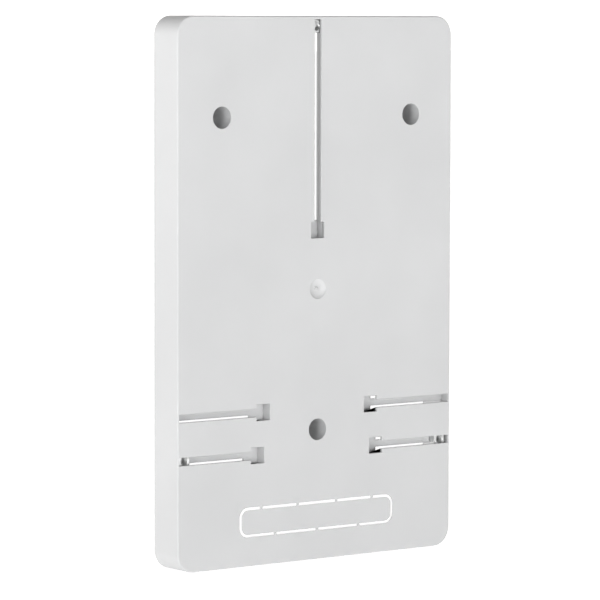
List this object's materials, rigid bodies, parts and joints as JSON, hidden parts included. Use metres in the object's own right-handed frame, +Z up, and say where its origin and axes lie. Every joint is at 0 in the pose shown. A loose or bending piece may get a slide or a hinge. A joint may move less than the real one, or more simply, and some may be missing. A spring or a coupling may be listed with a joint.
{
  "type": "electricity meter mounting board",
  "caption": "Shallow rounded wall tray with nut tracks in its face, deep screw tubes, a break-out cable panel and sliding square nuts, for fixing an electricity meter.",
  "frame": {"origin": "centre of the board's back plane, on the flat wall-side end of its central support pillar", "axes": "+X to the right seen from the front, +Y from the front face towards the wall, +Z up"},
  "size_m": [0.25, 0.03, 0.4],
  "materials": {
    "plastic_light_grey": "fine moulded satin",
    "steel_zinc_plated": "bright zinc plating"
  },
  "bodies": {
    "board": {"mounting_plate": "plastic_light_grey"},
    "knockout": {"cable_knockout": "plastic_light_grey"},
    "nut_top": {"slide_nut_top": "steel_zinc_plated"},
    "nut_left": {"slide_nut_left": "steel_zinc_plated"},
    "nut_right": {"slide_nut_right": "steel_zinc_plated"}
  },
  "joints": [
    {"name": "knockout_pull", "type": "slide", "parent": "board", "child": "knockout", "axis": [0, -1, 0], "range_m": [0, 0.04]},
    {"name": "nut_top_slide", "type": "slide", "parent": "board", "child": "nut_top", "axis": [0, 0, -1], "range_m": [0, 0.149]},
    {"name": "nut_left_slide", "type": "slide", "parent": "board", "child": "nut_left", "axis": [1, 0, 0], "range_m": [0, 0.0632]},
    {"name": "nut_right_slide", "type": "slide", "parent": "board", "child": "nut_right", "axis": [-1, 0, 0], "range_m": [0, 0.0632]}
  ]
}
